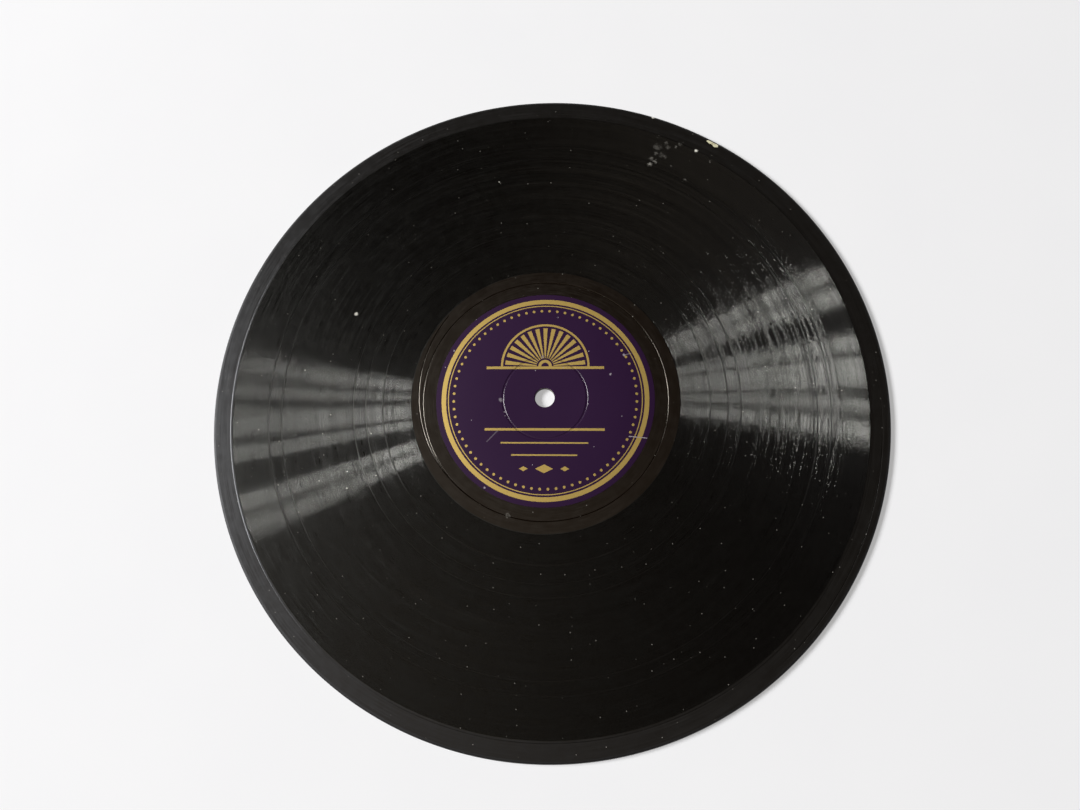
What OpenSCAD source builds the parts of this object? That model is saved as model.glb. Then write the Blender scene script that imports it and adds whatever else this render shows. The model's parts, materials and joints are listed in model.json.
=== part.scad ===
// Double-sided shellac gramophone record of the laminated kind: a coarse core pressed between two
// paper sheets, each carrying a fine shellac playing layer and a round paper label.
// The origin is on the spindle axis, in the plane that the record lies on, with +Z up.

/* [Disc] */
// Diameter of the record
disc_d = 250; // [240:1:305]
// Thickness between the two faces
disc_t = 2.1; // [1.9:0.1:3]
// Diameter of the spindle hole
hole_d = 7.3; // [7:0.05:9]

/* [Layers] */
// Thickness of each fine shellac playing layer
layer_t = 0.35; // [0.3:0.05:0.5]
// Thickness of each paper sheet between a playing layer and the core
paper_t = 0.1; // [0.05:0.01:0.2]
// Width of solid shellac that seals the edge of the core and the paper
edge_seal = 0.8; // [0.7:0.1:2]

/* [Rim] */
// Width from the recorded band to the edge of the record
rim_w = 7.4; // [5:0.1:12]
// Depth of the smooth rim below the face
rim_drop = 0.1; // [0.04:0.01:0.15]
// Width of the bevel between the face and the rim
bevel_w = 0.4; // [0.2:0.1:1]
// Width of the rounded nose at the edge
nose_w = 1.2; // [1:0.1:1.6]

/* [Recorded band] */
// Distance from one turn of the groove to the next
groove_pitch = 0.28; // [0.24:0.01:0.6]
// Width of the groove at its mouth
groove_w = 0.16; // [0.1:0.01:0.2]
// Depth of the groove
groove_depth = 0.08; // [0.04:0.01:0.1]

/* [Run-out] */
// Width of the smooth run-out from the label to the recorded band
runout_w = 9.3; // [7:0.1:15]
// Distance from the label to the closed stop groove
stop_gap = 4.9; // [3:0.1:6]
// Direction in which the lead-out runs into the stop groove
stop_angle = 240; // [0:1:359]
// Distance from the spindle axis to the centre of the lead-out arc
lead_out_shift = 3.5; // [3:0.1:6]
// Width of the lead-in, lead-out and stop grooves
guide_w = 0.36; // [0.2:0.02:0.5]
// Depth of the lead-in, lead-out and stop grooves
guide_depth = 0.12; // [0.06:0.01:0.15]

/* [Lead-in] */
// Distance from the edge of the record to the start of the lead-in groove
lead_in_start = 2.7; // [2:0.1:4]
// Direction in which the lead-in groove starts
lead_in_angle = 310; // [0:1:359]

/* [Label] */
// Diameter of the paper label
label_d = 81; // [70:1:100]
// Thickness of the paper label
label_t = 0.12; // [0.08:0.01:0.2]
// Clearance of the label in its seat, below it and round its edge and its pressed ring
label_gap = 0.02; // [0.01:0.01:0.05]
// Width of the bevel that the punch leaves round the hole in the label
hole_bevel = 0.25; // [0.1:0.05:0.5]
// Diameter of the ring that the press leaves in the label
press_ring_d = 31.2; // [20:0.2:40]
// Width of that ring
press_ring_w = 0.9; // [0.6:0.1:2]
// Depth of that ring
press_ring_depth = 0.1; // [0.05:0.01:0.15]

/* [Rim chip] */
// Direction of the chip that shows the paper at the rim
chip_angle = 57.8; // [0:0.1:359]
// Distance from the edge of the record to the middle of the chip
chip_inset = 1.5; // [1.2:0.1:3]
// Width of the chip across the rim
chip_w = 1.8; // [1:0.1:2.4]
// Width of the chip's waist, between its two ends
chip_waist = 1.4; // [0.8:0.1:2.4]
// Length of the chip along the rim
chip_l = 4.7; // [2.6:0.1:6]
// Spread of the chip's broken sides for each millimetre of depth
chip_flare = 0.7; // [0.2:0.1:1.5]

/* [Hidden] */
$fn = 96;
// How far a cutter stands clear of the face that it cuts
over = 1;
nose_step = 10;
disc_r = disc_d / 2;
hole_r = hole_d / 2;
label_r = label_d / 2;
seat_r = label_r + label_gap;
inner_r = disc_r - edge_seal;
mid_z = disc_t / 2;
layer_z = disc_t - layer_t;
paper_z = disc_t - label_t;
seat_z = paper_z - label_gap;
rim_z = disc_t - rim_drop;
band_in = label_r + runout_w;
turns = floor((disc_r - rim_w - band_in) / groove_pitch);
band_out = band_in + turns * groove_pitch;
stop_r = label_r + stop_gap;

// Outline of the rounded nose, from the middle of the edge up to the rim
function nose() = [
    for (a = [0:nose_step:90])
        [disc_r - nose_w + nose_w * cos(a), mid_z + (rim_z - mid_z) * sin(a)]
];

// Outline of a V groove in a face at height z, from its outer lip to its inner lip
function groove(r, width, depth, z) = [[r + width / 2, z], [r, z - depth], [r - width / 2, z]];

// Outline of all turns of the recorded groove, from the outermost to the innermost
function recorded_grooves() = [
    for (k = [turns - 1:-1:0])
        each groove(band_in + (k + 0.5) * groove_pitch, groove_w, groove_depth, disc_t)
];

// Outline of the pressed ring in a face at height z, from its outer lip to its inner lip,
// with a gap on both sides of it where another piece has to fit in
function press_ring(z, gap = 0) = [
    for (side = [1, 0.5, -0.5, -1])
        [
            (press_ring_d + side * press_ring_w) / 2 + sign(side) * gap,
            abs(side) < 1 ? z - press_ring_depth : z
        ]
];

function reversed(points) = [for (i = [len(points) - 1:-1:0]) points[i]];

// Turns a shape made for the front face over to the back face
module turned_over() {
    translate([0, 0, disc_t]) rotate([180, 0, 0]) children();
}

// A flat disc with the spindle hole in it, sealed inside the edge
module inner_disc(bottom_z, thickness) {
    rotate_extrude()
        translate([hole_r, bottom_z])
            square([inner_r - hole_r, thickness]);
}

// Cutter for a guide groove along an arc about the Z axis, in a face at height z
module guide_arc(radius, z, from, sweep) {
    half = guide_w / 2 * (1 + over / guide_depth);
    rotate([0, 0, from])
        rotate_extrude(angle = sweep)
            polygon([[radius, z - guide_depth], [radius + half, z + over], [radius - half, z + over]]);
}

// The lead-out leaves the recorded band along an arc and slants into the stop groove.
// The arc's centre lies off the axis, on the far side from where the two grooves meet.
module lead_out() {
    arc_r = stop_r + lead_out_shift;
    far_side = stop_angle + 180;
    swing = acos((pow(band_in, 2) + pow(lead_out_shift, 2) - pow(arc_r, 2)) / (2 * band_in * lead_out_shift));
    start_x = band_in * cos(swing) - lead_out_shift;
    start_y = band_in * sin(swing);
    from = atan2(start_y, start_x);
    rotate([0, 0, far_side])
        translate([lead_out_shift, 0, 0])
            guide_arc(arc_r, disc_t, from, 180 - from);
}

// The lead-in runs from the rim to the recorded band along half a circle set off the axis
module lead_in() {
    start_r = disc_r - lead_in_start;
    shift = (start_r - band_out) / 2;
    rotate([0, 0, lead_in_angle])
        translate([shift, 0, 0])
            guide_arc(start_r - shift, rim_z, 0, 180);
}

// Three overlapping cones break the shellac away down to the paper: two ends and a waist
module chip() {
    depth = layer_t + over;
    for (side = [-1, 0, 1]) {
        lobe_r = (side == 0 ? chip_waist : chip_w) / 2;
        rotate([0, 0, chip_angle])
            translate([disc_r - chip_inset, side * (chip_l - chip_w) / 2, layer_z])
                cylinder(r1 = lobe_r, r2 = lobe_r + chip_flare * depth, h = depth);
    }
}

// Playing layer of the front: rounded edge, rim, recorded band, run-out and the seat of the label
module playing_layer() {
    difference() {
        rotate_extrude()
            polygon(concat(
                [[hole_r, layer_z], [inner_r, layer_z], [inner_r, mid_z]],
                nose(),
                [[band_out + 2 * bevel_w, rim_z], [band_out + bevel_w, disc_t]],
                recorded_grooves(),
                groove(stop_r, guide_w, guide_depth, disc_t),
                [[seat_r, disc_t], [seat_r, seat_z]],
                press_ring(seat_z, label_gap),
                [[hole_r, seat_z]]
            ));
        lead_out();
        lead_in();
    }
}

module core() {
    color("dimgray") inner_disc(layer_t + paper_t, disc_t - 2 * (layer_t + paper_t));
}

module front_paper() {
    color("blanchedalmond") inner_disc(layer_z - paper_t, paper_t);
}

module back_paper() {
    turned_over() front_paper();
}

module front_surface() {
    color([0.06, 0.055, 0.05])
        difference() {
            playing_layer();
            chip();
        }
}

module back_surface() {
    color([0.06, 0.055, 0.05]) turned_over() playing_layer();
}

module front_label() {
    color([0.19, 0.11, 0.29])
        rotate_extrude()
            polygon(concat(
                [[hole_r + hole_bevel, disc_t]],
                reversed(press_ring(disc_t)),
                [[label_r, disc_t], [label_r, paper_z]],
                press_ring(paper_z),
                [[hole_r, paper_z]]
            ));
}

module back_label() {
    turned_over() front_label();
}

core();
front_paper();
back_paper();
front_surface();
back_surface();
front_label();
back_label();
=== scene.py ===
# %% [markdown]
# # A laminated shellac record
# This record is a sandwich from the press: a coarse core, a sheet of paper on each side of it, a fine
# shellac playing layer over each sheet, and a round paper label in the middle of each face.
# The construction model holds those seven pieces at their real size. This script loads them and dresses
# them, so the first thing to keep is the box that they fill: nothing made here may leave it.

# %% Load the frame
import json
import math

import bmesh
import bpy
import numpy as np
from mathutils import Matrix, Vector, noise


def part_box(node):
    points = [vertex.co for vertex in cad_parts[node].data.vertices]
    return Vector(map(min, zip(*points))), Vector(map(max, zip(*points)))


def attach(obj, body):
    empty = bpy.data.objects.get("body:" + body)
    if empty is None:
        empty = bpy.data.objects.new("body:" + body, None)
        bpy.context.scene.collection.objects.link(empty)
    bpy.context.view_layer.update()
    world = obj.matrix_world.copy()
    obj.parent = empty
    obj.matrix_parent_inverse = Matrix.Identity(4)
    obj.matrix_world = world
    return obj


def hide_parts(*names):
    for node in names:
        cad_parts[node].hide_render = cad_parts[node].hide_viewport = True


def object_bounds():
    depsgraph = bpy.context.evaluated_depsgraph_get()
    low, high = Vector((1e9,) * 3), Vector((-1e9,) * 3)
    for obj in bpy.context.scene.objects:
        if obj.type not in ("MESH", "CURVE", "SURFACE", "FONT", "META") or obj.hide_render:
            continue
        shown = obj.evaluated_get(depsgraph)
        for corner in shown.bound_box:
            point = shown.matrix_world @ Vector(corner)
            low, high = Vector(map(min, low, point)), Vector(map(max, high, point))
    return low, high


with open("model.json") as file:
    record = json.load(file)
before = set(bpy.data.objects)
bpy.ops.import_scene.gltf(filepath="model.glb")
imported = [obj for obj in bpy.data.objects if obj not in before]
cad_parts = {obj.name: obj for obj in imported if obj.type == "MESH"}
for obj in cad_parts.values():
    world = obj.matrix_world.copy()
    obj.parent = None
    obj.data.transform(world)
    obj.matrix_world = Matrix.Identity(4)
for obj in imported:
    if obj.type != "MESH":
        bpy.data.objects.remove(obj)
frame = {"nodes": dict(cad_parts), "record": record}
cad_low, cad_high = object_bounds()
print("construction box in metres:", tuple(cad_low), tuple(cad_high))

# %% [markdown]
# ## Sizes
# What the frame can tell is read from it: how wide and thick the disc is, how wide the label and the hole
# are, and how high the paper lies. The numbers could be typed in, but reading them keeps the pieces made
# here in step with the construction model. Blender counts in metres, so lengths are written times MM.

# %% Read the sizes
MM = 0.001
disc_r = min(cad_high.x, cad_high.y, -cad_low.x, -cad_low.y)
disc_t = cad_high.z
label_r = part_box("front_label")[1].x
hole_r = frame["record"]["mounts"][0]["dims"]["r_mm"] * MM
inner_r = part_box("core")[1].x
layer_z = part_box("front_paper")[1].z
print(f"disc {2 * disc_r / MM:.2f} mm wide and {disc_t / MM:.2f} mm thick")
print(f"label {2 * label_r / MM:.2f} mm and hole {2 * hole_r / MM:.2f} mm wide")

# %% [markdown]
# ## Turning a ring
# Every part of the record is round, so one helper does what a lathe does: it takes a closed outline of
# radius and height and turns it about the spindle axis. A row of the outline may also give one radius
# for each step round, which lets a groove wander inward as the lead-in and the lead-out do.
# Blender's Spin or Screw would turn a fixed outline too, but not one that changes on the way round.

# %% Mesh objects
SMOOTH_UNDER = math.radians(50)


def link(made):
    bpy.context.scene.collection.objects.link(made)
    return made


def make_object(name, points, faces):
    mesh = bpy.data.meshes.new(name)
    mesh.from_pydata(points.tolist(), [], faces)
    made = link(bpy.data.objects.new(name, mesh))
    shell = bmesh.new()
    shell.from_mesh(mesh)
    bmesh.ops.recalc_face_normals(shell, faces=shell.faces)
    shell.to_mesh(mesh)
    shell.free()
    mesh.shade_smooth()
    mesh.set_sharp_from_angle(angle=SMOOTH_UNDER)
    return made


print(f"edges under {math.degrees(SMOOTH_UNDER):.0f} degrees are shaded smooth")

# %% Lathe
RING_STEPS = 720


def step_angles(steps):
    return np.arange(steps) * (2 * math.pi / steps)


def on_circle(radius, angles, height):
    """One point for each angle, at that radius and height."""
    level = np.broadcast_to(height, angles.shape)
    return np.stack([radius * np.cos(angles), radius * np.sin(angles), level], axis=1)


ring_angles = step_angles(RING_STEPS)


def turned_ring(name, outline):
    rows = [on_circle(radius, ring_angles, height) for radius, height in outline]
    faces = []
    for row in range(len(rows)):
        here = row * RING_STEPS
        there = (row + 1) % len(rows) * RING_STEPS
        for step in range(RING_STEPS):
            after = (step + 1) % RING_STEPS
            faces.append((here + step, here + after, there + after, there + step))
    return make_object(name, np.concatenate(rows), faces)


print("steps in one turn of a ring:", RING_STEPS)

# %% [markdown]
# ## The recorded groove
# On the real face the sound is one single groove that winds inward about 240 times between the rim and the
# run-out. A bump texture could only hint at it. With real walls the face throws the two bright fans of a
# record by itself, because each wall mirrors the window along one line only.
# First comes the room for it: what the rim and the run-out leave, in whole turns.

# %% Room for the groove
rim_w = 7.4 * MM
runout_w = 9.3 * MM
groove_pitch = 0.28 * MM
band_in = label_r + runout_w
turns = int((disc_r - rim_w - band_in) / groove_pitch)
band_out = band_in + turns * groove_pitch
print(f"recorded band from {band_in / MM:.1f} to {band_out / MM:.1f} mm radius, {turns} turns")

# %% [markdown]
# The groove is a V. Each step along the spiral adds three points: an outer lip, a bottom and an inner lip.
# A beveled curve could sweep the V as well, but its turns would be loose tubes with nothing between them.
# As points of one mesh they can be joined to the land and to the smooth parts on both sides.

# %% Points of the groove
BAND_STEPS = 120
groove_w = 0.16 * MM
groove_depth = 0.08 * MM
lead_in_end = math.radians(130)
last_step = (turns - 1) * BAND_STEPS


def groove_points():
    along = np.arange(last_step + 1)
    angle = lead_in_end + along * (2 * math.pi / BAND_STEPS)
    centre = band_out - groove_pitch * (0.5 + along / BAND_STEPS)
    rows = [
        on_circle(centre + side * groove_w, angle, height)
        for side, height in ((0.5, disc_t), (0, disc_t - groove_depth), (-0.5, disc_t))
    ]
    return np.stack(rows, axis=1).reshape(-1, 3)


print("points along the groove:", 3 * (last_step + 1))

# %% Edges of the band
border = 0.1 * MM


def band_edges():
    """The two edges of the band: first both on the face, then both on the paper below it."""
    circle = lead_in_end + step_angles(BAND_STEPS)
    return [
        on_circle(radius, circle, height)
        for height in (disc_t, layer_z)
        for radius in (band_out + border, band_in - border)
    ]


print(f"the band is {(band_out - band_in + 2 * border) / MM:.2f} mm wide with its borders")

# %% [markdown]
# Strips of faces join those points. At each step there are two walls, and a strip of land reaches across to
# the next turn. The first turn meets the outer edge and the last turn the inner edge. Where the spiral
# starts and ends, one small face with five corners closes the step that it leaves.

# %% Faces of the groove


def on_groove(step, row):
    return step * 3 + row


def groove_strips():
    faces = []
    for step in range(last_step):
        for row in (0, 1):
            faces.append((
                on_groove(step, row), on_groove(step + 1, row),
                on_groove(step + 1, row + 1), on_groove(step, row + 1),
            ))
        if step + BAND_STEPS < last_step:
            faces.append((
                on_groove(step, 2), on_groove(step + 1, 2),
                on_groove(step + 1 + BAND_STEPS, 0), on_groove(step + BAND_STEPS, 0),
            ))
    return faces


strips = groove_strips()
print("strips of wall and land:", len(strips))

# %% Faces round the band


def on_edge(ring, step):
    return on_groove(last_step + 1, 0) + ring * BAND_STEPS + step % BAND_STEPS


def border_faces():
    faces = []
    inmost = last_step - BAND_STEPS
    for step in range(BAND_STEPS):
        end = inmost + step
        faces.append((
            on_edge(0, step), on_edge(0, step + 1), on_groove(step + 1, 0), on_groove(step, 0)
        ))
        faces.append((
            on_groove(end, 2), on_groove(end + 1, 2), on_edge(1, step + 1), on_edge(1, step)
        ))
        for ring, under in ((0, 2), (2, 3), (3, 1)):
            faces.append((
                on_edge(ring, step), on_edge(ring, step + 1),
                on_edge(under, step + 1), on_edge(under, step),
            ))
    first = [on_groove(0, row) for row in range(3)]
    last = [on_groove(last_step, row) for row in range(3)]
    faces.append((on_edge(0, 0), *first, on_groove(BAND_STEPS, 0)))
    faces.append((on_groove(inmost, 2), *last, on_edge(1, 0)))
    return faces


front_band = make_object(
    "front_recorded_band",
    np.concatenate([groove_points(), *band_edges()]),
    strips + border_faces(),
)
print("recorded band:", len(front_band.data.polygons), "faces")

# %% [markdown]
# ## Worn lips
# A wall drawn as one flat strip would glint at one angle only. On the worn record the lips are round, so
# each corner of the strips gets a normal of its own: nearly flat on the land, leaning at the lip and
# steepest at the bottom. Rounding the lips with a bevel would do the same with many times the faces.
# How far the normals lean changes from one group of turns to the next, because loud passages are cut
# wider and wear more. That draws broad pale and dark rings in the fans. The first turns are quiet.

# %% Loud and quiet passages
BROAD_RING = 1.1 * MM
FINE_RING = 0.5 * MM
# In millimetres of radius
QUIET_FROM = 107.5
QUIET_TONE = 0.25


def passage_tone(radius, angle, ring_width, seed):
    """A number from about -1 to 1 that changes from ring to ring and slowly on the way round."""
    count = int(band_out / ring_width) + 2
    steps = np.random.default_rng(seed).uniform(-1, 1, (5, count))
    ring = radius / ring_width
    tone = np.interp(ring, np.arange(count), steps[0])
    for turn in (1, 2):
        tone = tone + 0.5 * np.cos(turn * angle) * np.interp(ring, np.arange(count), steps[2 * turn - 1])
        tone = tone + 0.5 * np.sin(turn * angle) * np.interp(ring, np.arange(count), steps[2 * turn])
    return tone / 1.5


def groove_tone(radius, angle):
    broad = passage_tone(radius, angle, BROAD_RING, 3)
    fine = passage_tone(radius, angle, FINE_RING, 4)
    quiet = np.clip(radius / MM - QUIET_FROM + 0.5, 0, 1)
    return (broad + 0.8 * fine) * (1 - (1 - QUIET_TONE) * quiet)


print(f"quiet turns from {QUIET_FROM} to {band_out / MM:.1f} mm radius")

# %% [markdown]
# The walls that face the axis make one fan and those that face outward make the other. The two fans are not
# alike, so each kind has its own lean at the lip and at the bottom, given at two radii. The closer the two
# leans are, the brighter the fan is there, because more of the wall mirrors the window at once.

# %% Lean of the walls
LEAN_AT = (60 * MM, 105 * MM)
# In degrees, at those two radii
INWARD_LIP = (8, 23)
INWARD_BOTTOM = (52, 44)
OUTWARD_LIP = (15, 6)
OUTWARD_BOTTOM = (38, 51)
# How far loud and quiet passages change those leans, in degrees
LIP_SPREAD = 4
BOTTOM_SPREAD = 9


def lean_of(radius, slope, inward, outward, spread):
    facing_in = np.interp(radius, LEAN_AT, inward)
    facing_out = np.interp(radius, LEAN_AT, outward)
    return np.radians(np.where(slope < 0, facing_in, facing_out) + spread)


middle_r = np.array([82.5 * MM])
for kind, slope in (("inward", -1), ("outward", 1)):
    lip = lean_of(middle_r, slope, INWARD_LIP, OUTWARD_LIP, 0)[0]
    bottom = lean_of(middle_r, slope, INWARD_BOTTOM, OUTWARD_BOTTOM, 0)[0]
    print(f"{kind} walls half way lean {math.degrees(lip):.0f} to {math.degrees(bottom):.0f} degrees")

# %% Worn groove lips
LAND_LEAN = math.radians(4)


def corner_facts(mesh):
    """For each corner of each face: the number of its point, its place and the normal of its face."""
    point = np.zeros(len(mesh.loops), dtype=np.int64)
    mesh.loops.foreach_get("vertex_index", point)
    face = np.repeat(np.arange(len(mesh.polygons)), [polygon.loop_total for polygon in mesh.polygons])
    place = np.zeros(len(mesh.vertices) * 3)
    mesh.vertices.foreach_get("co", place)
    normal = np.zeros(len(mesh.polygons) * 3)
    mesh.polygons.foreach_get("normal", normal)
    return point, place.reshape(-1, 3)[point], normal.reshape(-1, 3)[face]


def wear_lips(mesh):
    point, place, normals = corner_facts(mesh)
    radius = np.hypot(place[:, 0], place[:, 1])
    outwards = place[:, :2] / radius[:, None]
    slope = (normals[:, :2] * outwards).sum(axis=1)
    tone = groove_tone(radius, np.arctan2(place[:, 1], place[:, 0]))
    lip = lean_of(radius, slope, INWARD_LIP, OUTWARD_LIP, LIP_SPREAD * tone)
    bottom = lean_of(radius, slope, INWARD_BOTTOM, OUTWARD_BOTTOM, BOTTOM_SPREAD * tone)
    row = point % 3
    upward = (point < 3 * (last_step + 1)) & (normals[:, 2] > 0.5)
    wall = upward & (np.abs(slope) > 0.3)
    land = upward & (np.abs(slope) < 0.05)
    lean = np.where(row == 1, bottom, lip) * np.sign(slope)
    lean = np.where(land, np.where(row == 2, LAND_LEAN, -LAND_LEAN), lean)
    worn = wall | land
    normals[worn, :2] = outwards[worn] * np.sin(lean[worn])[:, None]
    normals[worn, 2] = np.cos(lean[worn])
    mesh.normals_split_custom_set(normals.tolist())
    return int(wall.sum()), int(land.sum())


print("corners leaned on walls and land:", wear_lips(front_band.data))

# %% [markdown]
# ## The rim
# Outside the recorded band the face steps down a bevel to a smooth rim, and a single lead-in groove runs
# across that rim to the first turn. Cutting it with a Boolean would leave ragged thin faces. Instead five
# rows of the rim's outline follow it: a bottom, a lip on each side, and a row beside each lip that keeps
# the shading of the flat rim flat. The groove fades in, is deep for a short way and then gets shallow.

# %% Lead-in groove
rim_z = disc_t - 0.1 * MM
bevel_w = 0.4 * MM
guide_w = 0.36 * MM
guide_depth = 0.12 * MM
beside = 0.85 * guide_w
lead_in_start = math.radians(310)
lead_in_outer = disc_r - 2.7 * MM
lead_in_inner = band_out + 2 * bevel_w + 1.2 * guide_w
fade = math.radians(6)


def lead_in_rows(angles):
    gone = np.mod(angles - lead_in_start, 2 * math.pi)
    middle = (lead_in_outer + lead_in_inner) / 2
    swing = (lead_in_outer - lead_in_inner) / 2
    centre = middle + swing * np.cos(gone)
    depth = guide_depth * np.clip(np.minimum(gone, math.pi - gone) / fade, 0, 1)
    depth = depth * np.interp(gone, np.radians([35, 60]), [1, 0.15])
    return [
        (centre + beside, rim_z), (centre + guide_w / 2, rim_z),
        (centre, rim_z - depth),
        (centre - guide_w / 2, rim_z), (centre - beside, rim_z),
    ]


print(f"lead-in from {lead_in_outer / MM:.1f} to {lead_in_inner / MM:.1f} mm radius")

# %% [markdown]
# The edge of the disc is a rounded nose: a quarter of an ellipse from the rim down to the middle of the
# thickness, and the back has the other quarter. The rim is turned in finer steps than the band, so its inner
# edge follows the band's coarser polygon. Otherwise thin gaps would show between the two.

# %% Rim
nose_w = 1.2 * MM
mid_z = disc_t / 2


def chord_radius(radius, angles, sides, first_angle):
    """Radius of a polygon with that many sides, in each direction, so that two rings meet exactly."""
    half_side = math.pi / sides
    within = np.mod(angles - first_angle, 2 * half_side) - half_side
    return radius * math.cos(half_side) / np.cos(within)


def nose_rows():
    rows = [(disc_r - 1.1 * nose_w, rim_z)]
    for lift in np.radians(np.arange(90, -1, -10)):
        radius = disc_r - nose_w + nose_w * math.cos(lift)
        rows.append((radius, mid_z + (rim_z - mid_z) * math.sin(lift)))
    return rows


rim_inside = chord_radius(band_out + border, ring_angles, BAND_STEPS, lead_in_end)
rim_outline = [
    (rim_inside, layer_z),
    (rim_inside, disc_t),
    (band_out + 1.35 * bevel_w, disc_t),
    (band_out + 1.5 * bevel_w, disc_t),
    (band_out + 2 * bevel_w, rim_z),
    (band_out + 2.15 * bevel_w, rim_z),
    *reversed(lead_in_rows(ring_angles)),
    *nose_rows(),
    (inner_r, mid_z),
    (inner_r, layer_z),
]
front_rim = turned_ring("front_rim", rim_outline)
back_rim = turned_ring("back_rim", rim_outline)
print("rim:", len(front_rim.data.polygons), "faces")

# %% [markdown]
# ## The run-out
# Between the recorded band and the label lies a smooth band that carries two more grooves: the lead-out,
# which leaves the last turn and swings inward, and the closed stop groove, in which the needle circles at
# the end. Both are rows of one outline, as on the rim. Where they meet they share a wall, so the rows
# between them sink to where their walls cross, a hair apart so that no face folds over.

# %% Lead-out and stop grooves
stop_r = label_r + 4.9 * MM
lead_out_start = math.radians(135)
lead_out_end = math.radians(240)
hair = 0.001 * MM


def lead_out_and_stop_rows(angles):
    gone = np.mod(angles - lead_out_start, 2 * math.pi) / (lead_out_end - lead_out_start)
    inside = gone < 1
    eased = 1 - (1 - np.clip(gone, 0, 1)) ** 1.6
    outermost = band_in - 1.2 * guide_w
    path = outermost - (outermost - stop_r - 0.1 * guide_w) * eased
    centre = np.where(inside, path, stop_r + 2 * guide_w)
    depth = np.where(inside, guide_depth * np.clip(gone / 0.05, 0, 1), 0)
    middle = (centre + stop_r) / 2
    shared = disc_t - guide_depth * (1 - np.clip((centre - stop_r) / guide_w, 0, 1))
    return [
        (centre + beside, disc_t),
        (centre + guide_w / 2, disc_t),
        (np.maximum(centre, middle + 3 * hair), disc_t - depth),
        (np.maximum(centre - guide_w / 2, middle + 2 * hair), shared),
        (np.maximum(centre - beside, middle + hair), shared),
        (np.minimum(stop_r + beside, middle - hair), shared),
        (np.minimum(stop_r + guide_w / 2, middle - 2 * hair), shared),
        (np.minimum(stop_r, middle - 3 * hair), disc_t - guide_depth),
        (stop_r - guide_w / 2, disc_t),
        (stop_r - beside, disc_t),
    ]


print(f"stop groove at {stop_r / MM:.1f} mm radius")

# %% [markdown]
# The die of the press leaves a sunk ring round the hole, less than half way out on the label, and the
# shellac below sinks with it.
# Its walls are drawn with a few rows each, rounded at the top and at the bottom. A single slanted face
# between two smooth-shaded flats would lose half of its lean and catch little light.

# %% Run-out
label_t = 0.12 * MM
seat_z = disc_t - label_t
press_ring_r = 15.6 * MM
press_ring_w = 0.9 * MM
press_ring_depth = 0.1 * MM
# Shares of the half width and of the depth, from the flat beside the ring to its floor
press_ring_wall = ((1.4, 0), (1, 0), (0.88, 0.15), (0.75, 0.5), (0.62, 0.85), (0.5, 1))


def press_ring_rows(height):
    rows = []
    for side, wall in ((1, press_ring_wall), (-1, reversed(press_ring_wall))):
        for away, sunk in wall:
            radius = press_ring_r + side * away * press_ring_w / 2
            rows.append((radius, height - sunk * press_ring_depth))
    return rows


runout_outside = chord_radius(band_in - border, ring_angles, BAND_STEPS, lead_in_end)
runout_outline = [
    (runout_outside, layer_z),
    (runout_outside, disc_t),
    *lead_out_and_stop_rows(ring_angles),
    (label_r, disc_t),
    (label_r, seat_z),
    *press_ring_rows(seat_z),
    (hole_r, seat_z),
    (hole_r, layer_z),
]
front_runout = turned_ring("front_run_out", runout_outline)
print("run-out:", len(front_runout.data.polygons), "faces")

# %% [markdown]
# ## The labels
# A label goes into the press with the hot shellac, so it ends flush with the face and takes the mark of the
# die: the sunk ring, and a bevel round the hole. A flat disc of paper would do from far away. Here it is
# turned from an outline like the rest, and its outer edge is rounded off by a hair, because paper is softer
# than the shellac around it.

# %% Paper label
hole_bevel = 0.25 * MM
paper_edge = 0.05 * MM

label_outline = [
    (hole_r, seat_z),
    (hole_r + hole_bevel, disc_t),
    (hole_r + 1.6 * hole_bevel, disc_t),
    *reversed(press_ring_rows(disc_t)),
    (label_r - 2 * paper_edge, disc_t),
    (label_r - 0.5 * paper_edge, disc_t - 0.4 * paper_edge),
    (label_r, disc_t - paper_edge),
    (label_r, seat_z),
    *press_ring_rows(seat_z),
]
front_label = turned_ring("front_paper_label", label_outline)
print("label:", len(front_label.data.polygons), "faces")

# %% [markdown]
# ## A cutter for the chip
# At one place the shellac has broken away from the rim and the cream paper shows. Moving points of the rim
# could not give such a ragged break. So three lumps with an uneven skin are made here, and a Boolean
# modifier takes them out of the rim further down, once the finishes are there. Only the playing layer is
# cut, so what shows at the bottom is the real sheet of paper beneath it.

# %% Chip cutter
chip_angle = math.radians(57.8)
chip_r = disc_r - 1.5 * MM
# Each lump's place along and across the rim, and its half length and half width, in millimetres
chip_lumps = ((-1.3, 0.05, 1.5, 1.0), (1.35, 0.1, 1.4, 0.75), (0.15, 0.15, 1.1, 0.7))
lump_depth = 0.55


def chip_cutter():
    lumps = bmesh.new()
    for along, across, length, width in chip_lumps:
        made = bmesh.ops.create_icosphere(lumps, subdivisions=4, radius=1.0)
        for vert in made["verts"]:
            rough = 1 + 0.22 * noise.noise(vert.co * 2.3 + Vector((along, across, 3)))
            vert.co = Vector((
                across + vert.co.x * width * rough,
                along + vert.co.y * length * rough,
                vert.co.z * lump_depth,
            ))
    mesh = bpy.data.meshes.new("chip_cutter")
    lumps.to_mesh(mesh)
    lumps.free()
    mesh.transform(Matrix.Scale(MM, 4))
    mesh.transform(Matrix.Rotation(chip_angle, 4, "Z") @ Matrix.Translation((chip_r, 0, rim_z)))
    return link(bpy.data.objects.new("chip_cutter", mesh))


cutter = chip_cutter()
print("chip cutter:", len(cutter.data.polygons), "faces")

# %% [markdown]
# ## Building finishes from nodes
# A finish is a small graph of nodes. It could be put together by hand in the Shader Editor. In code, a few
# short helpers add a node, set or link its sockets and hand back an output, so that a finish reads like a
# recipe. The same helpers build the room's light at the end.

# %% Node graph


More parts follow.
